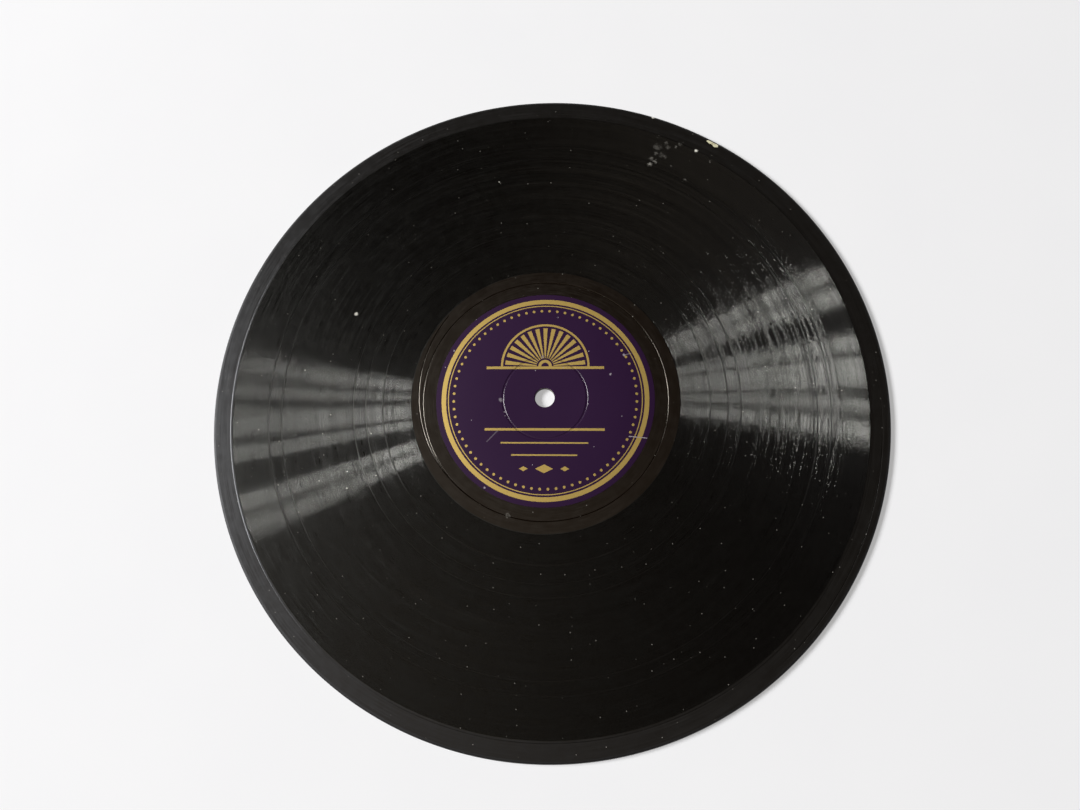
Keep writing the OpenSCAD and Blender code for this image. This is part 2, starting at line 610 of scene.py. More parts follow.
class Graph:
    """A node tree, with short ways to add the nodes that the finishes need."""

    def __init__(self, tree):
        self.tree = tree

    def feed(self, socket, value):
        if isinstance(value, bpy.types.NodeSocket):
            self.tree.links.new(value, socket)
        else:
            socket.default_value = value

    def add(self, kind, sockets=None, **settings):
        made = self.tree.nodes.new(kind)
        for key, value in settings.items():
            setattr(made, key, value)
        for key, value in (sockets or {}).items():
            self.feed(made.inputs[key], value)
        return made

    def math(self, operation, first, second=0.0):
        return self.add("ShaderNodeMath", {0: first, 1: second}, operation=operation).outputs[0]

    def most(self, *values):
        joined = values[0]
        for value in values[1:]:
            joined = self.math("MAXIMUM", joined, value)
        return joined

    def length(self, x, y):
        squares = self.math("ADD", self.math("MULTIPLY", x, x), self.math("MULTIPLY", y, y))
        return self.math("SQRT", squares)

    def vector(self, operation, first, second=(0, 0, 0), output="Vector"):
        made = self.add("ShaderNodeVectorMath", {0: first, 1: second}, operation=operation)
        return made.outputs[output]

    def scaled(self, vector, amount):
        made = self.add("ShaderNodeVectorMath", {0: vector, "Scale": amount}, operation="SCALE")
        return made.outputs["Vector"]

    def split(self, vector):
        return self.add("ShaderNodeSeparateXYZ", {0: vector}).outputs

    def ramp(self, value, low, high, to_low=0.0, to_high=1.0):
        made = self.add("ShaderNodeMapRange", {
            "Value": value, "From Min": low, "From Max": high, "To Min": to_low, "To Max": to_high,
        }, interpolation_type="SMOOTHSTEP")
        return made.outputs["Result"]

    def mix(self, factor, first, second):
        made = self.add("ShaderNodeMix", {"Factor": factor, 6: first, 7: second}, data_type="RGBA")
        return made.outputs[2]


print("graph helpers:", [name for name in vars(Graph) if not name.startswith("_")])

# %% [markdown]
# A finish of the record is such a graph with a Principled shader at its end. Its patterns are worked out
# from the object's own coordinates in millimetres, so they stay on the record from every side. Image
# textures would need unwrapped faces, and they would blur close up.

# %% Finish


class Finish(Graph):
    """One material, with its place in millimetres and its distance from the spindle axis."""

    def __init__(self, name):
        self.material = bpy.data.materials.new(name)
        self.material.use_nodes = True
        super().__init__(self.material.node_tree)
        self.shader = self.tree.nodes["Principled BSDF"]
        place = self.add("ShaderNodeTexCoord").outputs["Object"]
        self.place = self.vector("MULTIPLY", place, (1 / MM, 1 / MM, 1 / MM))
        self.x, self.y, _ = self.split(self.place)
        self.radius = self.length(self.x, self.y)

    def set(self, **sockets):
        for key, value in sockets.items():
            self.feed(self.shader.inputs[key.replace("_", " ")], value)

    def noise(self, where, scale, detail=3.0, roughness=0.5):
        made = self.add("ShaderNodeTexNoise", {
            "Vector": where, "Scale": scale, "Detail": detail, "Roughness": roughness,
        })
        return made.outputs["Fac"]

    def bump(self, height, strength, depth):
        made = self.add("ShaderNodeBump", {"Strength": strength, "Distance": depth, "Height": height})
        self.set(Normal=made.outputs[0])

    def upright(self):
        """1 on a level face, less where the face leans."""
        normal = self.add("ShaderNodeNewGeometry").outputs["Normal"]
        return self.math("ABSOLUTE", self.split(normal)[2])


print("finish helpers:", [name for name in vars(Finish) if not name.startswith("_")])

# %% [markdown]
# ## Patterns along the groove
# Wear on a record runs round and round, so its noise is stretched: coarse round the axis and fine across the
# turns. A Wave texture in rings would be too even. Two more helpers follow the groove. One marks whole
# turns that a blunt needle has dulled. The other leans the surface normal along the groove, which makes the
# ripples of loud notes sparkle beside the fans.

# %% Patterns along the groove


def ring_noise(finish, along, across, detail, roughness):
    level = finish.vector("MULTIPLY", finish.place, (1, 1, 0))
    east, north, _ = finish.split(finish.vector("NORMALIZE", level))
    where = finish.add("ShaderNodeCombineXYZ", {
        "X": finish.math("MULTIPLY", east, along),
        "Y": finish.math("MULTIPLY", north, along),
        "Z": finish.math("MULTIPLY", finish.radius, across),
    })
    return finish.noise(where.outputs[0], 1.0, detail, roughness)


def dull_turns(finish, radii, width):
    masks = [0.0]
    for radius in radii:
        off = finish.math("ABSOLUTE", finish.math("SUBTRACT", finish.radius, radius))
        masks.append(finish.ramp(off, width / 2, width / 5))
    return finish.most(*masks)


def groove_way(finish):
    return finish.add("ShaderNodeTangent", direction_type="RADIAL", axis="Z").outputs[0]


def leaned(finish, amount):
    normal = finish.add("ShaderNodeNewGeometry").outputs["Normal"]
    lean = finish.scaled(groove_way(finish), amount)
    return finish.vector("NORMALIZE", finish.vector("ADD", normal, lean))


print("patterns that follow the groove: rings, dull turns and ripples")

# %% [markdown]
# ## Dust, nicks and scuffs
# A record that was used for years has dust on it, small white nicks, and scuffs where it knocked on
# something. Dust is anywhere, so it comes from a Voronoi pattern that puts a speck in a few of its cells.
# Nicks and scuffs have their own places. They could be decals, but a distance to each place is enough,
# and a noise makes their outlines ragged.

# %% Dust and spots


def specks(finish, spacing, share, size, seed):
    """Small round specks on a share of the cells of a random pattern."""
    moved = finish.vector("ADD", finish.place, (seed * 7.3, seed * 3.1, 0))
    cells = finish.add("ShaderNodeTexVoronoi", {
        "Vector": moved, "Scale": 1 / spacing,
    }, voronoi_dimensions="2D")
    lot = finish.add("ShaderNodeSeparateColor", {"Color": cells.outputs["Color"]}).outputs[0]
    chosen = finish.math("GREATER_THAN", lot, 1 - share)
    near = finish.ramp(cells.outputs["Distance"], size / spacing, 0.4 * size / spacing)
    return finish.math("MULTIPLY", chosen, near)


def spots(finish, places, ragged):
    """Small marks with uneven edges: each place is x, y and radius in millimetres, and strength."""
    stir = finish.add("ShaderNodeTexNoise", {"Vector": finish.place, "Scale": 0.9, "Detail": 3.0})
    push = finish.vector("SUBTRACT", stir.outputs["Color"], (0.5, 0.5, 0.5))
    push = finish.vector("MULTIPLY", push, (ragged, ragged, 0))
    level = finish.vector("ADD", finish.vector("MULTIPLY", finish.place, (1, 1, 0)), push)
    masks = [0.0]
    for x, y, size, strength in places:
        away = finish.vector("DISTANCE", level, (x, y, 0), "Value")
        masks.append(finish.ramp(away, size, 0.3 * size, 0.0, strength))
    return finish.most(*masks)


def dust_and_scuffs(finish, seed, scuffs):
    dust = finish.most(specks(finish, 9, 0.35, 0.22, seed), specks(finish, 3.1, 0.06, 0.12, seed + 1))
    if not scuffs:
        return dust
    broken = finish.ramp(ring_noise(finish, 60, 1.6, 4.0, 0.7), 0.38, 0.6)
    return finish.most(dust, finish.math("MULTIPLY", broken, spots(finish, scuffs, 1.8)))


print("marks: dust anywhere, nicks and scuffs at their own places")

# %% [markdown]
# ## Colours of the marks
# The marks go over the black in two layers: grey dust and scuffs first, then bright nicks. Grooved and
# smooth shellac share this step, so that a mark that crosses from one to the other stays whole.

# %% Marked colour
DUST = (0.20, 0.19, 0.17, 1)
NICK = (0.78, 0.76, 0.68, 1)
NICK_RAGGED = 0.8


def marked_colour(finish, colour, seed, scuffs, nicks):
    """Sets the base colour with all marks on it, and hands back where dust and scuffs lie."""
    marks = dust_and_scuffs(finish, seed, scuffs)
    marked = finish.mix(marks, colour, DUST)
    finish.set(Base_Color=finish.mix(spots(finish, nicks, NICK_RAGGED), marked, NICK))
    return marks


print("dust", DUST[:3], "and nicks", NICK[:3])

# %% [markdown]
# ## Grooved shellac
# Shellac filled with soot and slate powder is a warm black. Along a groove it is mirror smooth and across
# the grooves it is rough, so the shader is anisotropic: its highlight is stretched across the turns.
# Loud turns ripple, which the leaned normals show. Fine dark rings come from a Specular Tint that a ring
# noise darkens, because on black only the gloss can carry a pattern. A thin dull coat adds the haze beside
# the fans.

# %% Grooved shellac
SHELLAC_DARK = (0.0008, 0.0005, 0.0004, 1)
SHELLAC_WORN = (0.0024, 0.0016, 0.0012, 1)
GLOSS_TINT = (1.0, 1.0, 0.93, 1)
BLACK = (0, 0, 0, 1)
DULL_WIDTH = 0.6


def ripples(finish, loud):
    wave = finish.math("SUBTRACT", ring_noise(finish, 115, 2.2, 2.0, 0.6), 0.5)
    steep = finish.ramp(finish.upright(), 0.95, 0.83, 0.1, 1.0)
    strength = finish.math("MULTIPLY", finish.math("MULTIPLY", loud, steep), 1.2)
    return finish.math("MULTIPLY", wave, finish.math("ADD", strength, 0.008))


def grooved_shellac(name, seed, scuffs=(), nicks=(), dull_radii=()):
    finish = Finish(name)
    passages = ring_noise(finish, 0.8, 0.55, 5.0, 0.65)
    turn_by_turn = ring_noise(finish, 1.3, 1.7, 3.0, 0.7)
    recorded = finish.ramp(finish.radius, QUIET_FROM + 0.8, QUIET_FROM - 0.8)
    colour = finish.mix(finish.math("MULTIPLY", passages, turn_by_turn), SHELLAC_DARK, SHELLAC_WORN)
    marks = marked_colour(finish, colour, seed, scuffs, nicks)
    rough = finish.ramp(turn_by_turn, 0.45, 0.8, 0.11, 0.28)
    rough = finish.math("ADD", rough, finish.math("MULTIPLY", marks, 0.5))
    if dull_radii:
        dull = dull_turns(finish, dull_radii, DULL_WIDTH)
        rough = finish.math("ADD", rough, finish.math("MULTIPLY", dull, 0.24))
    finish.set(Roughness=rough, IOR=1.54, Coat_Weight=0.1, Coat_Roughness=0.4)
    finish.set(Anisotropic=1.0, Anisotropic_Rotation=0.25, Tangent=groove_way(finish))
    rings = finish.ramp(ring_noise(finish, 0.9, 1.5, 4.0, 0.7), 0.36, 0.52, 0.5, 1.0)
    rings = finish.most(rings, finish.math("SUBTRACT", 1.0, recorded))
    finish.set(Specular_Tint=finish.mix(rings, BLACK, GLOSS_TINT))
    loud = finish.math("MULTIPLY", finish.ramp(turn_by_turn, 0.46, 0.66), finish.ramp(passages, 0.28, 0.55))
    loud = finish.math("MULTIPLY", loud, recorded)
    finish.set(Normal=leaned(finish, ripples(finish, loud)))
    return finish.material


print("grooved shellac, pressed in black", SHELLAC_DARK[:3])

# %% [markdown]
# The front has a patch of scuffs near the chip, four nicks and five dulled turns. Their places are in
# millimetres from the spindle axis.

# %% Wear of the front
front_scuffs = (
    (44.1, 103.2, 2.2, 0.28), (47.5, 104.9, 1.1, 0.45), (48.2, 102.9, 1.2, 0.35), (51.3, 103.1, 0.7, 0.9),
    (53.2, 104.4, 1.1, 0.3), (44.6, 108.0, 0.7, 0.3), (43.5, 100.4, 1.0, 0.4), (45.6, 99.8, 1.6, 0.25),
    (46.8, 98.9, 1.2, 0.3), (41.5, 98.1, 1.2, 0.6), (43.0, 96.8, 1.0, 0.8), (40.9, 95.5, 1.3, 1.0),
    (49.3, 94.5, 0.6, 0.6), (64.7, 96.4, 0.7, 0.5), (54.5, 88.5, 0.7, 0.6),
)
front_nicks = (
    (59.3, 101.3, 0.9, 1.0), (-73.2, 33.2, 0.9, 1.0), (-19.2, 88.8, 0.45, 0.6), (42.6, 116.9, 0.8, 1.0),
)
front_dull_radii = (60.6, 67.0, 71.7, 98.9, 103.75)
front_band.data.materials.append(grooved_shellac(
    "front_grooved_shellac", 1, front_scuffs, front_nicks, front_dull_radii
))
print(len(front_scuffs), "scuffs,", len(front_nicks), "nicks and", len(front_dull_radii), "dulled turns")

# %% [markdown]
# ## Smooth shellac
# The land between the turns, the rim and the run-out have no groove. They keep the polish of the die under
# many years of fine rubbing, so their gloss is broad and a little mottled. One recipe makes all three, with
# a gloss, two blacks and a tint of its own for each. The walls of the guide grooves and the bevel are
# rubbed less: where a face leans, the recipe makes it smoother, and they show as thin bright lines.

# %% Smooth shellac
SMOOTH_DARK = (0.0040, 0.0019, 0.0008, 1)
SMOOTH_WORN = (0.0085, 0.0050, 0.0030, 1)


def smooth_shellac(name, seed, gloss, blacks, tint, scuffs=(), nicks=(), edge_from=None):
    finish = Finish(name)
    cloud = finish.noise(finish.place, 0.05, 4.0)
    rubs = ring_noise(finish, 5, 6, 4.0, 0.6)
    worn = finish.math("MULTIPLY", finish.ramp(rubs, 0.45, 0.75), cloud)
    dull = marked_colour(finish, finish.mix(worn, *blacks), seed, scuffs, nicks)
    if edge_from:
        dull = finish.most(dull, finish.ramp(finish.radius, edge_from, edge_from + 0.3))
    mottled = finish.ramp(finish.noise(finish.place, 0.3, 5.0, 0.7), 0.35, 0.65)
    rough = finish.ramp(rubs, 0.3, 0.8, gloss - 0.08, gloss + 0.12)
    rough = finish.math("ADD", rough, finish.math("MULTIPLY", mottled, 0.06))
    rough = finish.math("MULTIPLY", rough, finish.ramp(finish.upright(), 0.985, 0.93, 1.0, 0.55))
    rough = finish.math("ADD", rough, finish.math("MULTIPLY", dull, 0.3))
    finish.set(Roughness=rough, IOR=1.5, Specular_Tint=tint)
    finish.bump(rubs, 0.25, 0.01 * MM)
    return finish.material


print("smooth shellac from", SMOOTH_DARK[:3], "to", SMOOTH_WORN[:3])

# %% [markdown]
# The recorded band wears both finishes. Only its land is level, so the normals of its faces pick the land
# out, and those faces point to a second material slot. Splitting the band in two would do as well, but the
# shading would break along every lip.

# %% Land between the turns
LAND_GLOSS = 0.33
land_blacks = (SHELLAC_DARK, SHELLAC_WORN)


def paint_faces(mesh, finish, chosen):
    """Gives a second finish to the faces that are chosen, and counts them."""
    mesh.materials.append(finish)
    painted = 0
    for face in mesh.polygons:
        if chosen(face):
            face.material_index = 1
            painted += 1
    return painted


def is_land(face):
    return face.normal.z > 0.99


front_land = smooth_shellac("front_land", 1, LAND_GLOSS, land_blacks, GLOSS_TINT, front_scuffs, front_nicks)
print("land faces:", paint_faces(front_band.data, front_land, is_land))

# %% [markdown]
# The rim has a cooler gloss and paler blacks, as if hands had rubbed it most. Its outermost edge is dull.
# The run-out has a browner gloss, because shellac itself is brown.

# %% Rim and run-out
SMOOTH_GLOSS = 0.36
RIM_TINT = (0.93, 0.95, 1.0, 1)
RIM_DARK = (0.0062, 0.0052, 0.0042, 1)
RIM_WORN = (0.0125, 0.0108, 0.0088, 1)
RIM_DULL_FROM = 123.7
WARM_TINT = (1.0, 0.91, 0.78, 1)
rim_scuffs = ((-121.0, 8.0, 1.6, 0.10), (-120.4, 2.5, 1.4, 0.08), (-113.3, 45.0, 0.8, 0.2))
runout_scuffs = ((-12.9, -43.3, 1.1, 0.4), (-12.3, -43.6, 0.6, 0.5))


def rim_shellac(name, seed, scuffs=(), nicks=()):
    return smooth_shellac(
        name, seed, SMOOTH_GLOSS, (RIM_DARK, RIM_WORN), RIM_TINT, scuffs, nicks, RIM_DULL_FROM
    )


def runout_shellac(name, seed, scuffs=()):
    return smooth_shellac(name, seed, SMOOTH_GLOSS, (SMOOTH_DARK, SMOOTH_WORN), WARM_TINT, scuffs)


front_rim.data.materials.append(rim_shellac("front_rim_shellac", 3, rim_scuffs, front_nicks))
back_rim.data.materials.append(rim_shellac("back_rim_shellac", 6))
front_runout.data.materials.append(runout_shellac("front_run_out_shellac", 4, runout_scuffs))
print(len(rim_scuffs), "scuffs on the rim,", len(runout_scuffs), "on the run-out")

# %% [markdown]
# ## Broken shellac, paper and core
# A broken edge of shellac is dull and brown-grey. The sheets inside are a cream wood-pulp paper with soft
# fibres and stains, and the core is a coarse mix of slate, cotton flock and shellac. Displaced meshes would
# be wasted on pieces that hardly show, so a noise drives the colour and a bump.
# The core and the sheets keep the meshes of the construction model.

# %% Inner materials


def gritty(name, scale, grain, dark, pale, dullness, depth):
    """A coarse broken stuff: one noise for its colour, its roughness and its bumps."""
    finish = Finish(name)
    grit = finish.noise(finish.place, scale, *grain)
    finish.set(Base_Color=finish.mix(grit, dark, pale))
    finish.set(Roughness=finish.ramp(grit, 0.2, 0.8, *dullness))
    finish.bump(grit, 0.6, depth)
    return finish.material


def cream_paper(name):
    finish = Finish(name)
    fibre = finish.noise(finish.place, 3.0, 6.0, 0.7)
    stain = finish.ramp(finish.noise(finish.place, 0.6, 3.0), 0.5, 0.8)
    cream = finish.mix(fibre, (0.50, 0.47, 0.27, 1), (0.80, 0.78, 0.58, 1))
    finish.set(Base_Color=finish.mix(stain, cream, (0.35, 0.30, 0.18, 1)), Roughness=0.9)
    finish.bump(fibre, 0.5, 0.03 * MM)
    return finish.material


core_filler = gritty(
    "coarse_core_filler", 2.5, (6.0, 0.75),
    (0.012, 0.010, 0.009, 1), (0.07, 0.06, 0.05, 1), (0.55, 0.9), 0.08 * MM,
)
inner_paper = cream_paper("cream_inner_paper")
for node, finish in (("core", core_filler), ("front_paper", inner_paper), ("back_paper", inner_paper)):
    inner = frame["nodes"][node].data
    inner.materials.clear()
    inner.materials.append(finish)
    print(node, "wears", finish.name)

# %% [markdown]
# ## The chip in the rim
# Now the Boolean modifier takes the lumps out of the rim. Each face of the cut keeps the finish of the
# lumps, which is broken shellac. The modifier's result then becomes the rim's own mesh, and the cutter goes.

# %% Cut the chip
broken_shellac = gritty(
    "broken_shellac", 6.0, (5.0, 0.7),
    (0.02, 0.017, 0.014, 1), (0.09, 0.08, 0.065, 1), (0.5, 0.85), 0.05 * MM,
)


def cut_chip(rim):
    for finish in (rim.data.materials[0], broken_shellac):
        cutter.data.materials.append(finish)
    for face in cutter.data.polygons:
        face.material_index = 1
    rim.data.materials.append(broken_shellac)
    cut = rim.modifiers.new("chip", "BOOLEAN")
    cut.operation = "DIFFERENCE"
    cut.solver = "EXACT"
    cut.use_self = True
    cut.object = cutter
    bpy.context.view_layer.update()
    cut_mesh = bpy.data.meshes.new_from_object(rim.evaluated_get(bpy.context.evaluated_depsgraph_get()))
    rim.modifiers.clear()
    rim.data = cut_mesh
    bpy.data.objects.remove(cutter)


whole = len(front_rim.data.polygons)
cut_chip(front_rim)
print("chip cut:", whole, "faces became", len(front_rim.data.polygons))

# %% [markdown]
# ## Shapes of the label's print
# The label's paper is dyed a deep purple and printed in bronze ink. Its design here is a plain one of
# rings, bars, beads and rays. It could be painted into an image, but each shape is a distance worked out
# in millimetres instead, negative where there is ink, so its edge stays crisp at any size.

# %% Rings, bars and diamonds
INK_EDGE = 0.05


def inked(label, distance):
    """1 where a distance is negative, with a soft edge as wide as ink spreads in paper."""
    return label.ramp(distance, INK_EDGE, -INK_EDGE)


def off_line(label, value, middle, width=0.0):
    """How far a value is from a middle, less half a width."""
    off = label.math("ABSOLUTE", label.math("SUBTRACT", value, middle))
    return label.math("SUBTRACT", off, width / 2)


def ring(label, radius, width):
    return inked(label, off_line(label, label.radius, radius, width))


def bar(label, y, length, width):
    along = off_line(label, label.x, 0, length)
    return inked(label, label.most(along, off_line(label, label.y, y, width)))


def diamond(label, x, y, width, height):
    along = label.math("DIVIDE", off_line(label, label.x, x), width / 2)
    across = label.math("DIVIDE", off_line(label, label.y, y), height / 2)
    out = label.math("SUBTRACT", label.math("ADD", along, across), 1)
    return inked(label, label.math("MULTIPLY", out, min(width, height) / 2))


print(f"ink edges are {2 * INK_EDGE} mm soft")

# %% [markdown]
# Beads and rays repeat round a middle. The fraction of the angle, counted in beads or rays, starts again
# for each one, so a single bead or ray is worked out once and shows many times.

# %% Beads, rays and arches


def beads(label, radius, count, size):
    turn = label.math("MULTIPLY", label.math("ARCTAN2", label.y, label.x), count / (2 * math.pi))
    off = label.math("SUBTRACT", label.math("FRACT", turn), 0.5)
    along = label.math("MULTIPLY", off, 2 * math.pi * radius / count)
    across = label.math("SUBTRACT", label.radius, radius)
    return inked(label, label.math("SUBTRACT", label.length(along, across), size / 2))


def rays(label, y, inner, outer, count, share):
    up = label.math("SUBTRACT", label.y, y)
    away = label.length(label.x, up)
    turn = label.math("MULTIPLY", label.math("ARCTAN2", up, label.x), count / math.pi)
    off = off_line(label, label.math("FRACT", turn), 0.5, share)
    wide = label.math("MULTIPLY", off, label.math("MULTIPLY", away, math.pi / count))
    within = label.most(label.math("SUBTRACT", inner, away), label.math("SUBTRACT", away, outer))
    return inked(label, label.most(wide, within, label.math("MULTIPLY", up, -1)))


def arch(label, y, radius, width):
    up = label.math("SUBTRACT", label.y, y)
    off = off_line(label, label.length(label.x, up), radius, width)
    return inked(label, label.most(off, label.math("MULTIPLY", up, -1)))


print("shapes that repeat: beads and rays")

# %% [markdown]
# The design has a broad and a fine ring round the edge, a ring of beads, a fan of rays above the hole, and
# blank ruled lines with three diamonds below it. All shapes are joined into one mask of ink.

# %% Design of the label
FAN_Y = 12.0


def ink_mask(label):
    return label.most(
        ring(label, 37.6, 1.7),
        ring(label, 35.9, 0.35),
        beads(label, 33.9, 72, 1.0),
        rays(label, FAN_Y, 3.2, 15.0, 15, 0.52),
        arch(label, FAN_Y, 16.2, 0.8),
        arch(label, FAN_Y, 2.0, 1.1),
        bar(label, FAN_Y - 0.5, 44, 1.0),
        bar(label, -12.0, 44, 0.9),
        bar(label, -17.0, 32, 0.55),
        bar(label, -21.5, 24, 0.55),
        diamond(label, 0, -26.5, 6.5, 3.2),
        diamond(label, -7.5, -26.5, 3.2, 1.8),
        diamond(label, 7.5, -26.5, 3.2, 1.8),
    )


print(f"the fan of rays stands {FAN_Y} mm above the hole")

# %% [markdown]
# ## The printed label
# Old label paper is faded in clouds, its ink has worn through in places, and scratches show the pale pulp.
# The scratches are straight, so each is a distance to a short line. The paper is dull and fibrous, and
# the ink lies a little smoother on it. The ring that the die pressed is burnished: same print, more gloss.

# %% Scratches on the label


def streaks(finish, lines):
    """Fine straight marks: each line is x, y, x, y and width in millimetres, and strength."""
    masks = [0.0]
    for x0, y0, x1, y1, width, strength in lines:
        length = math.hypot(x1 - x0, y1 - y0)
        way = ((x1 - x0) / length, (y1 - y0) / length, 0)
        side = (-way[1], way[0], 0)
        start = finish.vector("SUBTRACT", finish.place, (x0, y0, 0))
        past = off_line(finish, finish.vector("DOT_PRODUCT", start, way, "Value"), length / 2, length)
        across = finish.math("ABSOLUTE", finish.vector("DOT_PRODUCT", start, side, "Value"))
        masks.append(finish.ramp(finish.most(past, across), width / 2, 0.1 * width, 0.0, strength))
    return finish.most(*masks)


label_marks = (
    (-16.3, -0.9, 1.0, 0.45), (-1.0, 15.8, 0.7, 0.5), (24.3, 8.9, 0.5, 0.9), (29.4, 16.4, 0.6, 0.8),
    (-14.8, -5.4, 0.5, 0.6), (-21.4, -33.5, 0.5, 0.7), (-34.5, 18.2, 0.4, 0.7), (-35.6, 9.3, 0.4, 0.6),
)
label_lines = (
    (30.8, -14.5, 37.1, -15.1, 0.5, 0.9), (-21.0, -16.5, -17.4, -12.7, 0.7, 0.2),
    (29.4, 16.4, 32.0, 16.9, 0.3, 0.6),
)
print(len(label_marks), "rubbed spots and", len(label_lines), "scratches on the front label")

# %% Printed label
PURPLE = (0.021, 0.0055, 0.030, 1)
PURPLE_FADED = (0.028, 0.0090, 0.037, 1)
BRONZE = (0.50, 0.35, 0.10, 1)
BRONZE_WORN = (0.36, 0.24, 0.09, 1)
RUBBED = (0.42, 0.38, 0.42, 1)


def printed_label(name, marks=(), lines=(), burnished=False):
    finish = Finish(name)
    ink = ink_mask(finish)
    fibre = finish.noise(finish.place, 4.0, 6.0, 0.7)
    cloud = finish.noise(finish.place, 0.12, 4.0)
    paper = finish.mix(finish.math("MULTIPLY", fibre, cloud), PURPLE, PURPLE_FADED)
    ink_wear = finish.ramp(finish.noise(finish.place, 1.7, 6.0, 0.75), 0.52, 0.72)
    printed = finish.mix(ink, paper, finish.mix(ink_wear, BRONZE, BRONZE_WORN))
    rubbed = finish.most(
        specks(finish, 11, 0.25, 0.22, 5), spots(finish, marks, 0.9), streaks(finish, lines)
    )
    finish.set(Base_Color=finish.mix(rubbed, printed, RUBBED))
    finish.set(Metallic=finish.math("MULTIPLY", ink, 0.35))
    nap = finish.math("ADD", fibre, finish.math("MULTIPLY", ink, -0.3))
    if burnished:
        finish.set(Roughness=finish.ramp(nap, 0.0, 0.9, 0.2, 0.36), Specular_IOR_Level=0.5)
    else:
        finish.set(Roughness=finish.ramp(nap, 0.0, 0.9, 0.5, 0.75), Specular_IOR_Level=0.12)
    finish.bump(fibre, 0.35, 0.02 * MM)
    return finish.material


def is_pressed(face):
    away = math.hypot(face.center.x, face.center.y)
    return face.normal.z > 0.3 and abs(away - press_ring_r) < 0.55 * press_ring_w


front_label.data.materials.append(printed_label("front_label_print", label_marks, label_lines))
front_ring = printed_label("front_pressed_ring", label_marks, label_lines, burnished=True)
print("faces of the pressed ring:", paint_faces(front_label.data, front_ring, is_pressed))

# %% [markdown]
# ## The back of the record
# The back is pressed in the same way. It could be modelled again, but a copy of each front piece that is
# turned over does it, and then the groove winds the right way on both faces. The copies get finishes of
# their own, without the front's scuffs, nicks and scratches. The back's rim is already there.

# %% Back of the record
turn_over = Matrix.Translation((0, 0, disc_t)) @ Matrix.Rotation(math.pi, 4, "X")


def on_the_back(front, name, *finishes):
    made = link(bpy.data.objects.new(name, front.data.copy()))
    for place, finish in enumerate(finishes):
        made.data.materials[place] = finish
    made.matrix_world = turn_over
    return made


back_band = on_the_back(
    front_band, "back_recorded_band",
    grooved_shellac("back_grooved_shellac", 4),
    smooth_shellac("back_land", 4, LAND_GLOSS, land_blacks, GLOSS_TINT),
)
back_runout = on_the_back(front_runout, "back_run_out", runout_shellac("back_run_out_shellac", 5))
back_label = on_the_back(
    front_label, "back_paper_label",
    printed_label("back_label_print"),
    printed_label("back_pressed_ring", burnished=True),
)
back_rim.matrix_world = turn_over
print("turned over:", [piece.name for piece in (back_band, back_runout, back_label, back_rim)])

# %% [markdown]
# ## Seating the pieces
# Nothing on a record moves, so all pieces ride on one body. The band, the rim and the run-out together stand
# for a playing layer of the construction model, and a printed label for a plain one.

# %% Seat the pieces on the frame
for band, rim, runout, label, side in (
    (front_band, front_rim, front_runout, front_label, "front"),
    (back_band, back_rim, back_runout, back_label, "back"),
):
    for piece in (band, rim, runout):
        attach(piece, "root")
        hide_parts(side + "_surface")
    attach(label, "root")
    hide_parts(side + "_label")
    print(side, "pieces seated on root")

# %% [markdown]
# ## Floor
# The record lies on a plain white floor. Lit by the window alone, it would be uneven, with a dark shadow and
# a grey line far away. So what the camera and glossy faces see of it is blended with an even glow in the
# backdrop's colour: less than half of it near the record, where a pale shadow stays, and all of it further
# out. The floor lies a hair below the record, so that the two faces don't flicker into each other.

# %% Floor
FLOOR_HALF = 25.0
FLOOR_Z = -0.05 * MM
BACKDROP = (0.96, 0.96, 0.965, 1)
FLOOR_GLOW_NEAR = 0.4
FLOOR_GLOW_REACH = (280, 1100)


def seen_rays(graph):
    """1 for rays from the camera, and 1 for rays from a mirror or through glass."""
    paths = graph.add("ShaderNodeLightPath").outputs
    return paths["Is Camera Ray"], graph.most(paths["Is Glossy Ray"], paths["Is Transmission Ray"])


def floor_finish():
    finish = Finish("plain_floor")
    cloud = finish.noise(finish.place, 0.02, 3.0)
    finish.set(Base_Color=finish.mix(cloud, (0.83, 0.83, 0.85, 1), (0.88, 0.88, 0.89, 1)), Roughness=0.9)
    shown = finish.most(*seen_rays(finish))
    glow = finish.ramp(finish.radius, *FLOOR_GLOW_REACH, FLOOR_GLOW_NEAR, 1.0)
    glow = finish.math("MULTIPLY", shown, glow)
    backdrop = finish.add("ShaderNodeEmission", {"Color": BACKDROP})
    plain = finish.shader.outputs[0]
    blend = finish.add("ShaderNodeMixShader", {0: glow, 1: plain, 2: backdrop.outputs[0]})
    finish.feed(finish.tree.nodes["Material Output"].inputs["Surface"], blend.outputs[0])
    return finish.material


floor_mesh = bpy.data.meshes.new("floor")
floor_signs = ((-1, -1), (1, -1), (1, 1), (-1, 1))
floor_corners = [(x * FLOOR_HALF, y * FLOOR_HALF, FLOOR_Z) for x, y in floor_signs]
floor_mesh.from_pydata(floor_corners, [], [(0, 1, 2, 3)])
floor = link(bpy.data.objects.new("floor", floor_mesh))
floor.data.materials.append(floor_finish())
print(f"floor {2 * FLOOR_HALF} m wide, {-FLOOR_Z / MM} mm below the record")

# %% [markdown]
# ## Window light
# The light is that of a window on the left with bars between its panes: the bars draw the dark lines in the
# bright fans. One big area light would give fans without lines, so each pane is an area light of its own.
# A wide post parts the six panes into two sashes. All have the same height and lie in one plane.

# %% Window
WINDOW_DISTANCE = 5.0
WINDOW_AZIMUTH = 173.7
WINDOW_LIFT = math.radians(34)
WINDOW_ROLL = math.radians(10)
WINDOW_TALL = 1.4
WINDOW_RADIANCE = 60.0
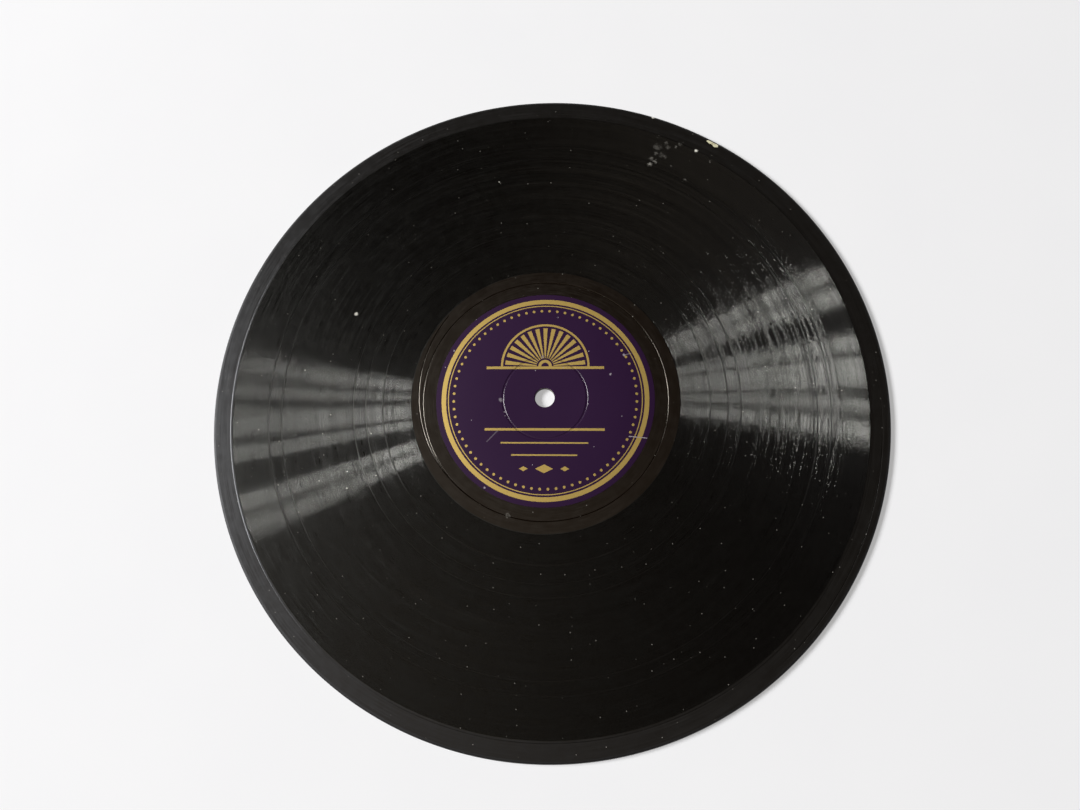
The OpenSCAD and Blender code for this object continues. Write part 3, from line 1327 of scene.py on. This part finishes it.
# Where each pane starts and ends, in degrees about the record, and how clear it is
panes = (
    (157.6, 160.6, 1.15), (162.6, 164.6, 1.1), (166.8, 172.0, 1.0), (173.4, 176.4, 1.0),
    (182.6, 185.8, 1.25), (187.4, 190.8, 1.15),
)
# A lamp shines along its own -Z, so its axes are turned to make it face the record
face_record = Matrix(((0, 0, 1, 0), (1, 0, 0, 0), (0, 1, 0, 0), (0, 0, 0, 1)))


def add_pane(start, end, clear):
    reach = WINDOW_DISTANCE * math.cos(WINDOW_LIFT)
    left = reach * math.tan(math.radians(start - WINDOW_AZIMUTH))
    right = reach * math.tan(math.radians(end - WINDOW_AZIMUTH))
    lamp = bpy.data.lights.new("window_pane", "AREA")
    lamp.shape = "RECTANGLE"
    lamp.size = right - left
    lamp.size_y = WINDOW_TALL
    lamp.energy = WINDOW_RADIANCE * clear * math.pi * lamp.size * lamp.size_y
    pane = link(bpy.data.objects.new("window_pane", lamp))
    pane.matrix_world = (
        Matrix.Rotation(math.radians(WINDOW_AZIMUTH), 4, "Z")
        @ Matrix.Rotation(-WINDOW_LIFT, 4, "Y")
        @ Matrix.Translation((WINDOW_DISTANCE, (left + right) / 2, 0))
        @ Matrix.Rotation(WINDOW_ROLL, 4, "X")
        @ face_record
    )
    return lamp.energy


print(f"{len(panes)} panes of window light, {sum(add_pane(*pane) for pane in panes):.0f} W in all")

# %% [markdown]
# ## Room light
# The rest of the room is dim: a warm grey all round at the horizon, and one soft glow overhead that the disc
# mirrors low on its left. An even grey world would be simpler, but the black would turn grey in it.
# The camera sees the plain backdrop in every direction. So do glossy and transmitted rays near the horizon.

# %% Room
HORIZON = (0.2, 0.008)
HORIZON_TOP = 0.16
GLOW_TOWARDS = Vector((-0.26, -0.13, 0.95)).normalized()
GLOW_STRENGTH = 0.75
GLOW_FOCUS = 24.0
ROOM_TINT = (1.0, 0.87, 0.74)
BACKDROP_TOP = 0.06

world = bpy.data.worlds.new("room")
bpy.context.scene.world = world
world.use_nodes = True
room = Graph(world.node_tree)
looking = room.add("ShaderNodeTexCoord").outputs["Generated"]
height = room.split(looking)[2]
facing = room.most(room.vector("DOT_PRODUCT", looking, GLOW_TOWARDS, "Value"), 0.0)
overhead = room.math("MULTIPLY", room.math("POWER", facing, GLOW_FOCUS), GLOW_STRENGTH)
bright = room.math("ADD", room.ramp(height, 0.0, HORIZON_TOP, *HORIZON), overhead)
by_camera, by_mirror = seen_rays(room)
low_down = room.ramp(height, BACKDROP_TOP, 0.0)
seen = room.most(by_camera, room.math("MULTIPLY", by_mirror, low_down))
colour = room.mix(seen, room.scaled(ROOM_TINT, bright), BACKDROP)
room.feed(world.node_tree.nodes["Background"].inputs["Color"], colour)
print("room light:", len(world.node_tree.nodes), "nodes")

# %% [markdown]
# ## Camera
# The camera looks down from above, a little from the front. Its place was worked out from the disc's outline
# in the photograph, and its focal length is counted in pixels of that picture's width. It could be aimed
# with a Track To constraint, but its directions go straight into its matrix, so its roll is exact too.

# %% Camera
camera_at = Vector((11.31, -62.59, 254.45)) * MM + Vector((0, 0, disc_t))
camera_right = Vector((0.99876, 0.01190, -0.04837))
camera_up = Vector((-0.00053, 0.97349, 0.22870))
camera_back = camera_right.cross(camera_up).normalized()
focal_px = 708.8
photo_w = 1080

lens = bpy.data.cameras.new("camera")
lens.sensor_width = 36
lens.lens = lens.sensor_width * focal_px / photo_w
lens.clip_start = 0.01
camera = link(bpy.data.objects.new("camera", lens))
camera.matrix_world = Matrix((
    (camera_right.x, camera_up.x, camera_back.x, camera_at.x),
    (camera_right.y, camera_up.y, camera_back.y, camera_at.y),
    (camera_right.z, camera_up.z, camera_back.z, camera_at.z),
    (0, 0, 0, 1),
))
bpy.context.scene.camera = camera
bpy.context.scene.view_settings.view_transform = "Standard"
print(f"camera {camera_at.length / MM:.0f} mm from the record, lens {lens.lens:.1f} mm")

# %% [markdown]
# ## The end
